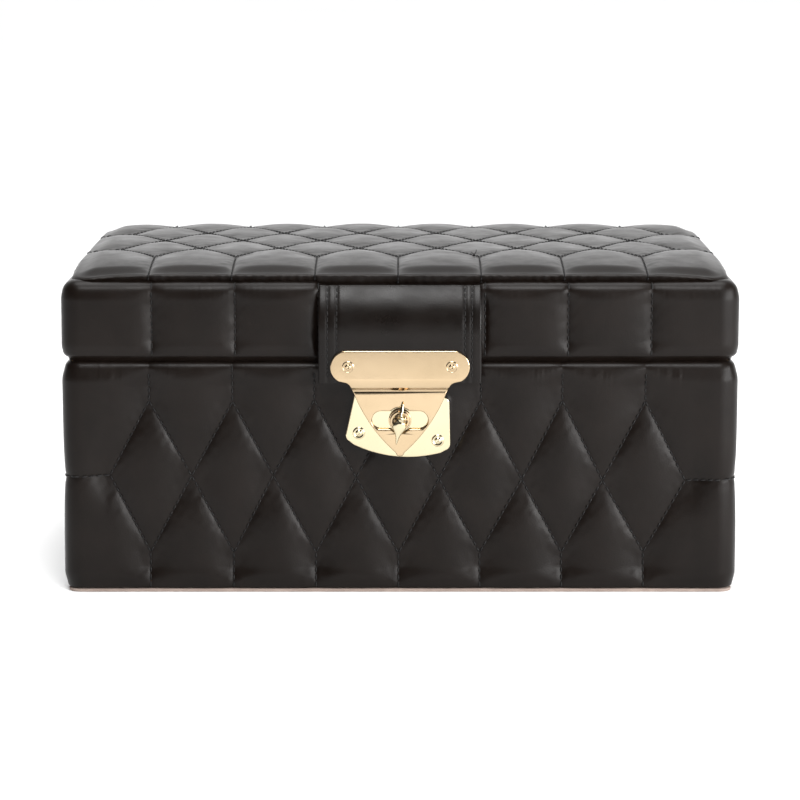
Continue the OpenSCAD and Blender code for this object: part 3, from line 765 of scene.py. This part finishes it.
class Strap:
    """The closing strap, a band of leather from under the cushion that hangs over the lid's front.

    Its section hangs straight, leans back over the lid's edge, turns sharply and runs in under the cushion.
    """

    HALF = 30.0
    THICK = 2.0
    ROWS = (-26.6, -23.2, 23.9, 26.5)
    ROW_DIP, ROW_WIDTH = 0.22, 0.55
    BEND_Z = (110.6, 114.0)
    SPLIT_Z = 108.0
    LEAN_Z, LEAN_R, LEAN, LEAN_STEP = 97.0, 30.0, 36, 0.018
    TURN_STEP, TURN = 0.35, 0.25
    ROUND = 0.7

    def __init__(self):
        self.front = STRAP_LO[1]
        line = [(self.front, z) for z in np.arange(STRAP_LO[2], self.LEAN_Z, 0.8)]
        r = self.LEAN_R
        for a in np.arange(0, radians(self.LEAN), self.LEAN_STEP):
            line.append((self.front + r * (1 - cos(a)), self.LEAN_Z + r * sin(a)))
        y, z = line[-1]
        heading = pi / 2 - a
        while heading > 0:
            y += self.TURN_STEP * cos(heading)
            z += self.TURN_STEP * sin(heading)
            line.append((y, z))
            heading -= self.TURN
        line += [(y + e, z) for e in np.arange(0.6, 5, 0.8)]
        self.line = np.array(line)
        step = np.gradient(self.line, axis=0)
        step /= np.linalg.norm(step, axis=1, keepdims=True)
        self.out = np.stack([-step[:, 1], step[:, 0]], -1)
        self.s = np.append(0, np.cumsum(np.hypot(*np.diff(self.line, axis=0).T)))

    def face(self, x, s, lift=0.0):
        """Points on the strap's face, at x across it and s up along it."""
        y, z = np.interp(s, self.s, self.line[:, 0]), np.interp(s, self.s, self.line[:, 1])
        oy, oz = np.interp(s, self.s, self.out[:, 0]), np.interp(s, self.s, self.out[:, 1])
        dip = sum(self.ROW_DIP * np.exp(-((x - row) / self.ROW_WIDTH) ** 2) for row in self.ROWS)
        worn = 0.018 * waves(x, s * 0.25, 9, 41) + 0.006 * waves(x * 0.5, s, 3, 42)
        h = lift - dip + worn * fade(self.HALF - np.abs(x), 0.5, 3)
        return np.stack([x + 0 * y, y + oy * h, z + oz * h], -1)

    def build(self):
        edge, half, thick = self.ROUND, self.HALF, self.THICK
        side, back = half - edge, edge - thick
        ring = [(x, 0.0) for x in np.arange(-side, side + 0.01, MESH_STEP)]
        ring += arc(side, -edge, edge, 90, 0, 5) + arc(side, back, edge, 0, -90, 5)
        ring += [(x, -thick) for x in np.linspace(half - 4, 4 - half, 12)]
        ring += arc(-side, back, edge, -90, -180, 5) + arc(-side, -edge, edge, 180, 90, 5)
        across, depth = np.array(ring).T
        x, s = np.meshgrid(across, self.s)
        top = self.face(x, s)
        outwards = top - self.face(x, s, -1.0)
        points = top + outwards * depth[:, None]
        faces = capped_tubes(len(self.s), len(ring))
        piece = add_piece("closing_strap", points.reshape(-1, 3), faces, STRAP, None)
        clean(piece, sharp=50)
        self.bend(piece)
        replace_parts(piece, "closure_strap", "strap_root")

    def bend(self, piece):
        """Bakes a piece's placement into its points; it is not bent, and rides on no body."""
        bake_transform(piece)

    def sew(self):
        """The rows of stitching. Their lower part rides on the clasp, and the rest, like the strap, rides on
        no body.
        """
        split = float(np.interp(self.SPLIT_Z, self.line[:60, 1], self.s[:60]))
        parts = (("strap_stitching", 2.0, split), ("strap_stitching_top", split, self.s[-1] - 6))
        for name, start, end in parts:
            rows = [((x, start), (x, end)) for x in self.ROWS]
            piece = stitches(name, rows, self.face, None, pitch=2.3, radius=0.2, lift=0.2)
            if name == "strap_stitching":
                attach(piece, "clasp")
            else:
                self.bend(piece)


def loose_threads(pad):
    """Two ends of one thread, left long where a seam ends on the cushion."""
    row_end = PAD_SHIFT_Y - 2 * PAD_ROW
    ends = [((27.5, row_end + 2.5), (1.2, -0.72, 2.4)), ((27.9, row_end + 2.7), (-1.26, -0.36, 1.44))]
    t = np.linspace(0, 1, 12)
    sway = np.column_stack([0.5 * np.sin(3 * t), 0.35 * (1 - np.cos(4 * t)), 0 * t])
    centre = [pad.surface(*np.array(spot)) + t[:, None] * lean + sway for spot, lean in ends]
    threads("loose_threads", np.array(centre), (0.3, 1.0, 0.2), 0.2 * (1 - 0.6 * t), "lid")


# ---------- metalwork ----------

def mirrored(right):
    """A closed outline from its right half, whose first and last points are on the middle line."""
    return right + [(-x, z) for x, z in right[-2:0:-1]]


def plate(name, rings, back, front, bevel, material, body, cuts=(), shape=None):
    """A metal plate cut to closed outlines in x and z, with round edges.

    Extra edges run along it at the heights in cuts, and shape moves its points at the end.
    """
    curve = bpy.data.curves.new(name, "CURVE")
    curve.dimensions = "2D"
    curve.fill_mode = "BOTH"
    curve.extrude = abs(back - front) / 2 - bevel
    curve.bevel_depth = bevel
    curve.bevel_resolution = 3
    curve.offset = -bevel
    for ring in rings:
        spline = curve.splines.new("POLY")
        spline.points.add(len(ring) - 1)
        spline.points.foreach_set("co", np.array([(x, z, 0, 1) for x, z in ring]).ravel())
        spline.use_cyclic_u = True
    blank = new_object(name + "_blank", curve)
    cut = bpy.data.meshes.new_from_object(blank.evaluated_get(bpy.context.evaluated_depsgraph_get()))
    bpy.data.objects.remove(blank)
    bm = bmesh.new()
    bm.from_mesh(cut)
    bmesh.ops.remove_doubles(bm, verts=bm.verts, dist=0.002)
    bmesh.ops.transform(bm, matrix=Matrix.Rotation(pi / 2, 4, "X"), verts=bm.verts)
    for z in cuts:
        parts = bm.verts[:] + bm.edges[:] + bm.faces[:]
        bmesh.ops.bisect_plane(bm, geom=parts, plane_co=(0, 0, z), plane_no=(0, 0, 1))
    bm.to_mesh(cut)
    bm.free()
    points = np.array([v.co for v in cut.vertices]) + (0, (back + front) / 2, 0)
    if shape:
        points = shape(points)
    piece = add_piece(name, points, [list(f.vertices) for f in cut.polygons], material, body)
    clean(piece, sharp=55)
    even_shading(piece)
    return piece


def even_shading(piece):
    """Shades flat faces flat up to their rounded edges."""
    piece.modifiers.new("even_shading", "WEIGHTED_NORMAL").keep_sharp = True


def turned(name, places, profile, material, body, sides=40):
    """Turned pieces joined in one mesh: a profile of (radius, y) spun about each place in x and z."""
    a = np.arange(sides) / sides * tau
    radius, y = np.array(profile).T[..., None]
    rings = [np.broadcast_arrays(x + radius * np.cos(a), y, z + radius * np.sin(a)) for x, z in places]
    points = np.concatenate([np.stack(ring, -1).reshape(-1, 3) for ring in rings])
    spun = grid_faces(len(profile), sides, closed=True)
    faces = np.concatenate([spun + n * len(profile) * sides for n in range(len(places))])
    piece = add_piece(name, points, faces, material, body)
    clean(piece, sharp=40)
    even_shading(piece)
    return piece


def dome(radius, base, height):
    """Profile of a pressed rivet head: a flange, a ring and a dimpled button."""
    spots = [(1.0, 0), (1.0, 0.2), (0.92, 0.5), (0.78, 0.62), (0.64, 0.42), (0.56, 0.36), (0.48, 0.5),
             (0.38, 0.86), (0.24, 1.0), (0.12, 0.92), (0.001, 0.8)]
    return [(radius * r, base - height * h) for r, h in spots]


def key_slot():
    """Outline of the hasp's slot: a rounded slot with a round hole in its middle."""
    reach, end, hole = 7.0, 3.3, 4.7
    points = []
    for a in np.linspace(0, tau, 96, endpoint=False):
        c, d = abs(cos(a)), abs(sin(a))
        straight = end / max(d, 1e-6)
        slot = straight if straight * c <= reach else reach * c + sqrt(end ** 2 - (reach * d) ** 2)
        radius = max(slot, hole)
        points.append((radius * cos(a), LOCK_Z + radius * sin(a)))
    return points


def hasp():
    """The hinged plate: a bar riveted to the strap, a joggle, and a pointed flap with the slot."""
    bar_r, neck, neck_r, tip_r, bulge = 6.05, 17.2, 3.0, 1.6, 1.9
    bar_z, shoulder, tip = HASP_HI[2] - bar_r, HASP_HI[2] - 15.5, HASP_LO[2]
    lean = atan2(shoulder - tip, neck)
    right = [(0, bar_z + bar_r)] + arc(HASP_HI[0] - bar_r, bar_z, bar_r, 90, -62, 26)
    right += arc(20.9, shoulder + 0.7, neck_r, 108, 178, 10)
    right += [(neck, shoulder)]
    for t in np.linspace(0.05, 0.93, 16):
        x, z = neck * (1 - t), shoulder + (tip - shoulder) * t
        out = 4 * bulge * t * (1 - t)
        right.append((x + out * sin(lean), z - out * cos(lean)))
    right += arc(0, tip + tip_r, tip_r, -38, -90, 5)
    thick = 1.2
    joggle = [(-0.1, 1.45), (0.25, 1.58), (0.6, 1.62), (1.9, 0.38), (2.4, 0.26), (3.0, 0.16), (3.7, 0.07),
              (4.4, 0.01), (5.0, 0), (15.8, 0.38)]
    heights = [tip - 1] + [shoulder + rise for rise, _ in joggle]
    depths = [0.75] + [depth for _, depth in joggle]

    def pressed(points):
        points[:, 1] += HASP_LO[1] + np.interp(points[:, 2], heights, depths) + thick
        return points

    cuts = heights[1:-1] + [shoulder - 1, shoulder + 7.3]
    rings = [mirrored(right), key_slot()]
    piece = plate("hasp_plate", rings, 0, -thick, 0.45, GOLD, "clasp", cuts, pressed)
    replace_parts(piece, "hasp")
    places = [(x, bar_z) for x in (19.05, -19.05)]
    rivets = turned("hasp_rivet_heads", places, dome(2.45, HASP_LO[1] + 0.65, 0.95), GOLD, "clasp")
    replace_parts(rivets, "hasp_rivets")


def keeper():
    """The plate on the body that the hasp closes over, with its rivets and the stud."""
    top_half, up, corner = 17.6, 10.0, 2.6
    right = [(0, up)] + arc(top_half - corner, up - corner, corner, 90, 4, 10)
    right += arc(PLATE_HALF - corner, PLATE_BOW + corner - PLATE_DOWN - 0.4, corner, 4, -68, 10)
    right += [(x, plate_edge(x)) for x in np.linspace(PLATE_HALF - corner - 0.6, 0, 16)]

    def place(x, z):
        x, z = turned_by(x, z, -PLATE_TURN)
        return x, LOCK_Z + z

    front = KEEPER_LO[1]
    outline = [place(x, z) for x, z in mirrored(right)]
    piece = plate("keeper_cover", [outline], front + 1.6, front, 0.5, CREAM, "case")
    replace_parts(piece, "keeper_plate")
    heads = [place(x, -6.5) for x in (-14.6, 14.6)]
    rivets = turned("keeper_rivet_heads", heads, dome(2.3, front + 0.1, 0.75), CREAM, "case")
    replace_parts(rivets, "keeper_rivets")
    lip = [(4.2, 0.45), (4.05, 0.12), (3.75, 0), (3.4, 0.1), (3.1, 0.5), (2.4, 1.1), (1.6, 1.2), (0.001, 1.2)]
    profile = [(4.2, STUD_HI[1] + 0.1)] + [(radius, STUD_LO[1] + rise) for radius, rise in lip]
    stud = turned("stud_ring", [(0, LOCK_Z)], profile, GOLD, "case")
    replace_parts(stud, "lock_stud")


def turn_knob():
    """A twisted wing on a spindle: face on below its hub, edge on above it. t runs up the wing."""
    lean = radians(9.5)
    rings, sides = 44, 20
    t = np.linspace(-1, 1, rings)
    oval = np.sqrt(np.clip(1 - t * t, 0, 1))
    reach = np.where(t < 0, 8.4, 7.0)
    bulb = 1.75 * np.exp(-((np.abs(t) - 0.2) / 0.3) ** 2) + 0.8 * oval
    width = np.where(t < 0, bulb, 0.8 * bulb)
    thick = 0.15 + np.where(t < 0, 1.15, 0.8) * oval * (1 - 0.25 * np.abs(t))
    width[[0, -1]] = thick[[0, -1]] = 0.02
    twist = (pi / 2 * 0.94 * fade(t, -0.12, 0.34))[:, None]
    middle = KNOB_LO[1] + 1.3
    a = np.arange(sides) / sides * tau
    wide, deep = width[:, None] * np.cos(a), thick[:, None] * np.sin(a)
    across = wide * np.cos(twist) - deep * np.sin(twist)
    y = middle - wide * np.sin(twist) - deep * np.cos(twist)
    along = (t * reach)[:, None]
    x = across * cos(lean) + along * sin(lean)
    z = LOCK_Z - 0.2 - across * sin(lean) + along * cos(lean)
    points = np.stack([x, y, z], -1).reshape(-1, 3)
    wing = add_piece("knob_wing", points, grid_faces(rings, sides, closed=True), CREAM, "knob")
    clean(wing, 0.06, sharp=60)
    hub = [(1.5, 6), (1.5, 3), (3.3, 2.9), (3.55, 2.75), (3.6, 2.5), (3.45, 2.2), (3.1, 2.1), (2.75, 2.2),
           (2.3, 2.3), (1.7, 1.8), (1.35, 1), (1.3, 0)]
    profile = [(radius, middle + behind) for radius, behind in hub]
    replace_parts(turned("knob_hub", [(0, LOCK_Z)], profile, GOLD, "knob"), "turn_knob")


# ---------- inside ----------

def ring_rolls():
    """Soft round rolls that hold rings between them, pinched in at their ends."""
    end_run, end_share = 2.6, 0.84
    near_end = np.array([0, 0.25, 0.8, 1.6])
    for number in range(1, 7):
        node = f"ring_roll_{number}"
        low, high = box(node)
        width, length, height = high - low - (0.3, 0, 0.2)
        ys = np.concatenate([near_end, np.arange(end_run, length - 2.4, 1.3), length - near_end[::-1]])
        y, angle = np.meshgrid(ys, np.linspace(0, pi, 26), indexing="ij")
        end = np.minimum(y, length - y)
        pinch = end_share + (1 - end_share) * np.sqrt(1 - (1 - np.minimum(end / end_run, 1)) ** 2)
        swell = 0.98 + 0.02 * waves(y, angle * width / 2, 14, 50 + number) * fade(end, 1, 6)
        foot = 1 - 0.1 * (1 - np.sin(angle)) ** 2
        x = (low[0] + high[0] - width * pinch * swell * np.cos(angle) * foot) / 2
        z = low[2] + height * np.clip(np.sin(angle) ** 0.8 * pinch * swell, 0, 1)
        points = np.stack([x, low[1] + y, z], -1)
        rows, cols = y.shape
        faces = grid_faces(rows, cols, closed=True).tolist()
        faces += [list(range(cols)), list(range((rows - 1) * cols, rows * cols))[::-1]]
        name = f"ring_cushion_{number}"
        roll = add_piece(name, points.reshape(-1, 3), faces, SUEDE, "tray")
        clean(roll, sharp=75)
        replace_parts(roll, node)


def floor_cushion():
    """The pad on the body's floor: its top swells towards the middle, and its edges are rounded over."""
    edge, crown, step, gap = 1.0, 0.5, 3.0, (0.2, 0.2, 0)
    low, high = box("floor_pad")
    low, high = low + gap, high - gap
    nx, ny = (round(side / step) for side in (high - low)[:2])
    u, v = np.meshgrid(np.linspace(-1, 1, nx + 1), np.linspace(-1, 1, ny + 1))
    middle, half = (high + low)[:2] / 2, (high - low)[:2] / 2 - edge
    swell = (1 - np.abs(u) ** 3) * (1 - np.abs(v) ** 3)
    x, y = middle[0] + u * half[0], middle[1] + v * half[1]
    top = high[2] - crown * (1 - swell) + 0.08 * waves(u * half[0], v * half[1], 22, 61) * swell
    points = [np.stack([x, y, top], -1).reshape(-1, 3)]
    faces = grid_faces(*u.shape).tolist()
    rim = [(0, j) for j in range(nx)] + [(i, nx) for i in range(ny)]
    rim += [(ny, j) for j in range(nx, 0, -1)] + [(i, 0) for i in range(ny, 0, -1)]
    rows, cols = np.array(rim).T
    out = np.trunc(np.stack([u[rows, cols], v[rows, cols]], -1))
    out /= np.linalg.norm(out, axis=1, keepdims=True)
    base = points[0][rows * (nx + 1) + cols]
    rings = []
    for a in np.linspace(pi / 2, 0, 5):
        level = base[:, 2] + edge * (sin(a) - 1)
        rings.append(np.column_stack([base[:, :2] + out * edge * cos(a), level]))
    rings.append(np.column_stack([rings[-1][:, :2], np.full(len(base), low[2])]))
    start = len(points[0])
    walls = grid_faces(len(rings), len(base), closed=True)[:, ::-1] + start
    faces += walls.tolist() + [list(range(start + 5 * len(base), start + 6 * len(base)))[::-1]]
    piece = add_piece("floor_cushion", np.vstack(points + rings), faces, SUEDE, "case")
    clean(piece, sharp=70)
    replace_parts(piece, "floor_pad")


# ---------- finishes of the CAD pieces that stay ----------

WIDEST_BEVEL = 0.35
BEVEL_SHARE = 0.2
FINISHES = {
    "base_sheet": BASE,
    "carcass_board": BOARD,
    "suede_lining": SUEDE,
    "edge_leather": EDGE,
    "fittings_brass": BRASS,
    "gold_metal": GOLD,
    "mirror_silver": MIRROR,
    "quilted_leather": QUILT,
    "strap_leather": STRAP,
}


def finish_cad():
    """Gives each CAD piece its material, and rounds the edges of boards, linings and fittings."""
    slots = {part["node"]: part["material_slot"] for part in frame["record"]["subparts"]}
    for name, piece in frame["nodes"].items():
        finish = FINISHES[slots[name]]
        if not piece.material_slots:
            piece.data.materials.append(finish)
        for spot in piece.material_slots:
            spot.material = finish
        low, high = box(name)
        bevel = piece.modifiers.new("soft_edges", "BEVEL")
        bevel.width = min(WIDEST_BEVEL, BEVEL_SHARE * float(min(high - low))) * MM
        bevel.segments = 2
        bevel.limit_method = "ANGLE"
        bevel.angle_limit = radians(40)
        even_shading(piece)


quilted_body()
base_edge()
quilted_lid()
loose_threads(quilted_pad())
strap = Strap()
strap.build()
strap.sew()
hasp()
keeper()
turn_knob()
ring_rolls()
floor_cushion()
finish_cad()


# ---------- studio ----------

def paper_floor():
    half = 14.0
    corners = [(x * half, y * half, 0) for x, y in ((-1, -1), (1, -1), (1, 1), (-1, 1))]
    mesh = bpy.data.meshes.new("floor")
    mesh.from_pydata(corners, [], [(0, 1, 2, 3)])
    paper = Material("white_paper", Roughness=0.9, Specular_IOR_Level=0.1)
    paper.colour(paper.noise(3, 2), [(0.2, 0.93), (0.8, 0.95)])
    mesh.materials.append(paper.material)
    new_object("floor", mesh)


def room():
    """White to the camera. Its light is bright behind the case and near the floor, and dim elsewhere."""
    world = bpy.data.worlds.new("studio")
    bpy.context.scene.world = world
    world.use_nodes = True
    tree = world.node_tree
    links = tree.links
    direction = add_node(tree, "TexCoord").outputs["Generated"]
    split = add_node(tree, "SeparateXYZ", Vector=direction).outputs

    def graded(value, low, high, stops):
        span = add_node(tree, "MapRange", Value=value, From_Min=low, From_Max=high)
        return colour_ramp(tree, span.outputs["Result"], stops)

    upwards = [(0, 0.47), (0.04, 0.33), (0.13, 0.05), (0.45, 0.035), (1, 0.2)]
    total = tree.nodes.new("ShaderNodeMix")
    total.data_type = "RGBA"
    total.blend_type = "ADD"
    total.inputs["Factor"].default_value = 1.0
    links.new(graded(split["Z"], 0, 1, upwards), total.inputs["A"])
    links.new(graded(split["Y"], 0.35, 0.95, [(0, 0), (1, 1)]), total.inputs["B"])
    surroundings = add_node(tree, "Background", Color=total.outputs["Result"], Strength=1.5)
    backdrop = tree.nodes["Background"]
    backdrop.inputs["Color"].default_value = (1, 1, 1, 1)
    seen = add_node(tree, "LightPath").outputs["Is Camera Ray"]
    mixed = add_node(tree, "MixShader", Fac=seen)
    links.new(surroundings.outputs["Background"], mixed.inputs[1])
    links.new(backdrop.outputs["Background"], mixed.inputs[2])
    links.new(mixed.outputs["Shader"], tree.nodes["World Output"].inputs["Surface"])


def overhead_sun():
    light = bpy.data.lights.new("overhead", "SUN")
    light.energy = 2.2
    light.angle = radians(40)
    new_object("overhead", light).rotation_euler = (radians(-4), 0, 0)


def softbox(name, place, target, size, power):
    """A rectangular lamp at a place in metres, turned to its target."""
    light = bpy.data.lights.new(name, "AREA")
    light.shape = "RECTANGLE"
    light.size, light.size_y = size
    light.energy = power
    lamp = new_object(name, light)
    lamp.location = place
    lamp.rotation_euler = (Vector(target) - Vector(place)).to_track_quat("-Z", "Y").to_euler()


def camera():
    """A long lens, a little above the case and level with the middle of its front."""
    reach, tilt, target_z = 1.182, radians(8.79), 0.0725
    lens = bpy.data.cameras.new("camera")
    lens.lens = 144.4
    lens.sensor_width = 36
    lens.clip_end = 50
    eye = new_object("camera", lens)
    target = Vector((0, -HALF_D * MM, target_z))
    eye.location = target + Vector((0, -reach * cos(tilt), reach * sin(tilt)))
    eye.rotation_euler = (target - eye.location).to_track_quat("-Z", "Y").to_euler()
    bpy.context.scene.camera = eye


paper_floor()
room()
camera()
overhead_sun()
softbox("right_box", (1.1, -0.72, 0.36), (0, -0.05, 0.06), (1.1, 0.5), 19)
softbox("right_front_box", (0.72, -1.25, 0.28), (0, -0.05, 0.06), (0.7, 0.36), 5)
softbox("front_box", (0.05, -0.95, 1.25), (0, -0.08, 0.1), (0.6, 0.55), 15)
bpy.context.scene.view_settings.view_transform = "Standard"
